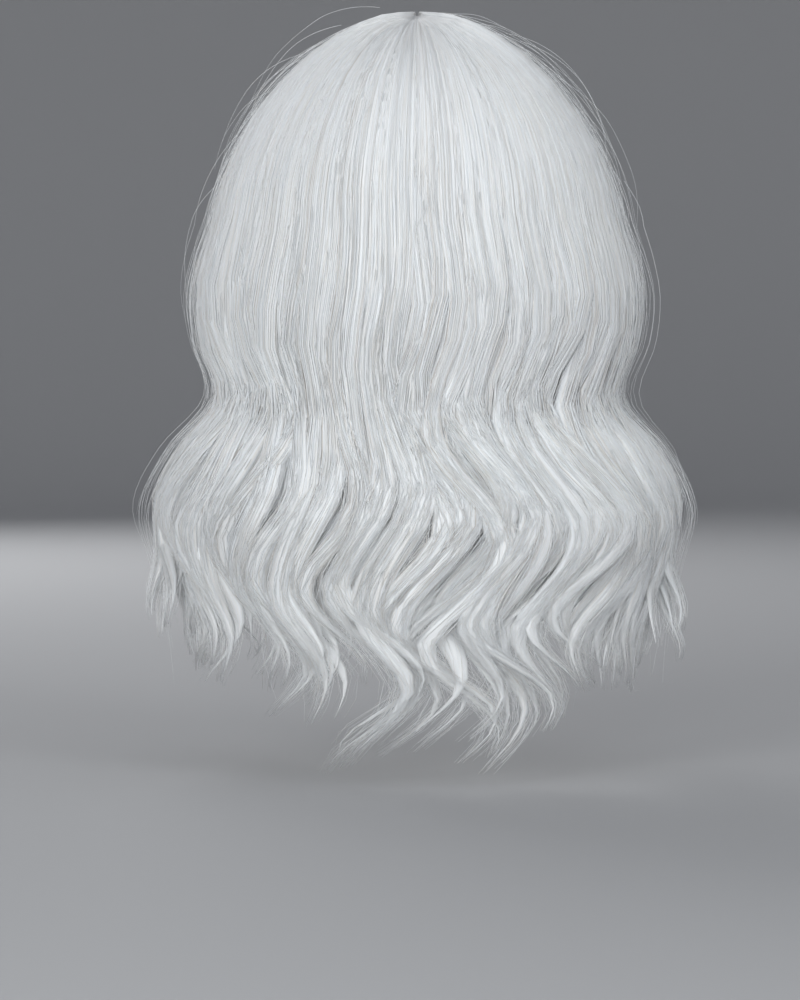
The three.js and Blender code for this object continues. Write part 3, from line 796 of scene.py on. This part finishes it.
def make_flyaways(material):
    """Single loose hairs outside the outline."""
    count, rows = FLYAWAY_COUNT, 26
    beside = rng.choice([-0.68, 0.68], (count, 1)) + rng.normal(size=(count, 1)) * 0.11
    side = np.where(rng.random((count, 1)) < 0.6, beside, rng.uniform(-1, 1, (count, 1)))
    start = rng.uniform(0.05, 1.25, (count, 1))
    run = rng.uniform(0.25, 0.75, (count, 1))
    t = np.linspace(0, 1, rows)[None]
    level = np.minimum(start + run * t, 1.86)
    fall = np.clip(level - 1, 0, None)
    path = side + wave(side, fall, 0.8 - 0.4 * (1 - side), 1.0)
    path = path + slow_noise(count, rows, 2, rng) * 0.012 + rng.normal(size=(count, 1)) * 0.05 * t * t
    out = rng.gamma(1.6, 2.2, (count, 1)) * np.sin(math.pi * mix(0.12, 0.9, t))
    out = out + rng.uniform(0, 6, (count, 1)) * t**3
    points = place(path, level, 1.0 - np.minimum(out, FLYAWAY_REACH))
    radii = np.full((count, rows), FLYAWAY_RADIUS) * (1 - 0.6 * t)
    marks = np.stack([path * MARK_STEP, level * MARK_STEP, np.full(path.shape, 0.8)], axis=-1)
    parts = MeshParts()
    add_tubes(parts, points, radii, marks)
    finish_piece(parts.make("flyaway_hairs", material), "hair")


def area_light(name, where, aim, size, power, colour):
    """A round soft light, aimed at a point."""
    light = bpy.data.lights.new(name, "AREA")
    light.shape = "DISK"
    light.size = size
    light.energy = power
    light.color = colour
    lamp = bpy.data.objects.new(name, light)
    lamp.location = where
    lamp.rotation_euler = (Vector(aim) - Vector(where)).to_track_quat("-Z", "Y").to_euler()
    bpy.context.scene.collection.objects.link(lamp)


def make_stage():
    """Pale floor that turns up into a plain backdrop all round, soft lights and an even surround."""
    floor_z = CAD_BOX[0][2] - 0.004
    flat, bend, height = 3.0, 0.9, 3.4
    turns, steps = 64, 12
    profile = [(0.02, 0.0), (1.0, 0.0), (flat, 0.0)]
    for step in range(1, steps + 1):
        angle = math.pi / 2 * step / steps
        profile.append((flat + bend * math.sin(angle), bend * (1 - math.cos(angle))))
    profile.append((flat + bend, height))
    around = 2 * math.pi * np.arange(turns) / turns
    points = [(r * math.cos(a), r * math.sin(a), z + floor_z) for r, z in profile for a in around]
    middle = [tuple(range(turns))]
    faces = [tuple(face) for face in grid_faces(len(profile), turns, True)[:, ::-1].tolist()] + middle
    mesh = bpy.data.meshes.new("floor")
    mesh.from_pydata(points, [], faces)
    mesh.polygons.foreach_set("use_smooth", np.ones(len(faces), dtype=bool))
    floor = bpy.data.objects.new("floor", mesh)
    bpy.context.scene.collection.objects.link(floor)
    material, nodes, links, shader = principled("pale_floor")
    shader.inputs["Base Color"].default_value = (0.46, 0.46, 0.465, 1)
    shader.inputs["Roughness"].default_value = 0.9
    mesh.materials.append(material)
    middle_of_hair, ends_of_hair = (0, 0, -0.18), (0, 0, -0.3)
    area_light("key", (1.2, 2.4, 0.6), middle_of_hair, 1.3, 20.5, (0.96, 0.985, 1.0))
    area_light("fill", (-1.7, 2.0, 0.6), middle_of_hair, 1.3, 17.5, (0.95, 0.98, 1.0))
    area_light("low", (0.3, 2.7, 0.15), ends_of_hair, 0.6, 17, (0.96, 0.985, 1.0))
    area_light("front", (0.8, -2.0, 0.8), middle_of_hair, 1.6, 20, (0.98, 0.99, 1.0))
    world = bpy.data.worlds.new("surround")
    world.use_nodes = True
    world.node_tree.nodes["Background"].inputs["Color"].default_value = (0.9, 0.93, 1.0, 1)
    world.node_tree.nodes["Background"].inputs["Strength"].default_value = 0.4
    bpy.context.scene.world = world
    bpy.context.scene.view_settings.view_transform = "Standard"


PHOTO_SIZE = (800, 1000)
PIXELS_PER_MM = 1.88
MIDDLE_PIXEL = (417, 12)  # the top of the hair in the photograph
HAIR_TOP_Z = CAP_WALL + HAIR_TOP
CAMERA_DISTANCE = 2.4
CAMERA_RISE = math.radians(2.5)


def make_camera():
    """Behind the wig and nearly level, with the photograph's framing."""
    aim_x = (MIDDLE_PIXEL[0] - PHOTO_SIZE[0] / 2) / PIXELS_PER_MM
    aim_z = HAIR_TOP_Z - (PHOTO_SIZE[1] / 2 - MIDDLE_PIXEL[1]) / PIXELS_PER_MM
    aim = Vector((aim_x, 0, aim_z)) * MM
    camera = bpy.data.cameras.new("camera")
    camera.sensor_fit = "VERTICAL"
    camera.sensor_height = 24
    camera.lens = camera.sensor_height * CAMERA_DISTANCE / (PHOTO_SIZE[1] / PIXELS_PER_MM * MM)
    seat = bpy.data.objects.new("camera", camera)
    back = Vector((0, math.cos(CAMERA_RISE), math.sin(CAMERA_RISE)))
    seat.location = aim + back * CAMERA_DISTANCE
    seat.rotation_euler = (-back).to_track_quat("-Z", "Y").to_euler()
    bpy.context.scene.collection.objects.link(seat)
    bpy.context.scene.camera = seat


make_camera()
make_stage()
fibre = hair_material()
make_cap(cap_material())
make_strip(strip_material())
make_locks(fibre)
make_under(fibre)
make_flyaways(fibre)
